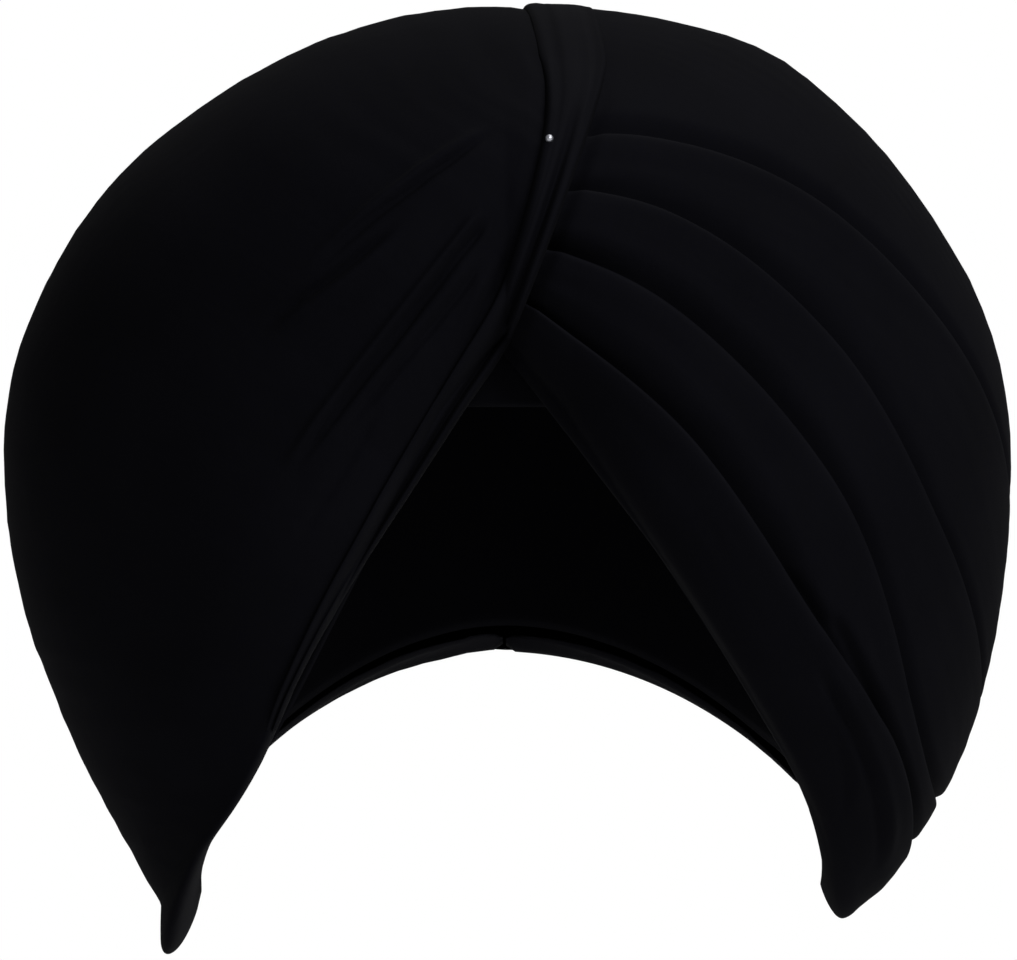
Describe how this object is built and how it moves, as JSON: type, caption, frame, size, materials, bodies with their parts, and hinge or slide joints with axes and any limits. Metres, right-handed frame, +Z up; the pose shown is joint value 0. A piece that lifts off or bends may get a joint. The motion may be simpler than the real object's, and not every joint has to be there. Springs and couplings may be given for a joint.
{
  "type": "wound turban",
  "caption": "Head wrap of thin black cloth, wound in nested folded layers over a close cap, with a pleat over the crown and a pin.",
  "frame": {"origin": "middle of the head space at the level of the edge over the forehead, where the head sits", "axes": "+Z up through the crown, +Y to the back of the head, -Y out over the forehead, +X to the viewer's right from the front"},
  "size_m": [0.2604, 0.2773, 0.2459],
  "materials": {
    "black_voile": "matt fine woven cotton",
    "under_cloth": "matt close woven cotton",
    "pin_steel": "polished"
  },
  "bodies": {
    "root": {"under_turban": "under_cloth", "layer_1": "black_voile", "layer_2": "black_voile", "layer_3": "black_voile", "layer_4": "black_voile", "layer_5": "black_voile", "side_wrap": "black_voile", "centre_pleat": "black_voile", "turban_pin": "pin_steel"}
  },
  "joints": []
}
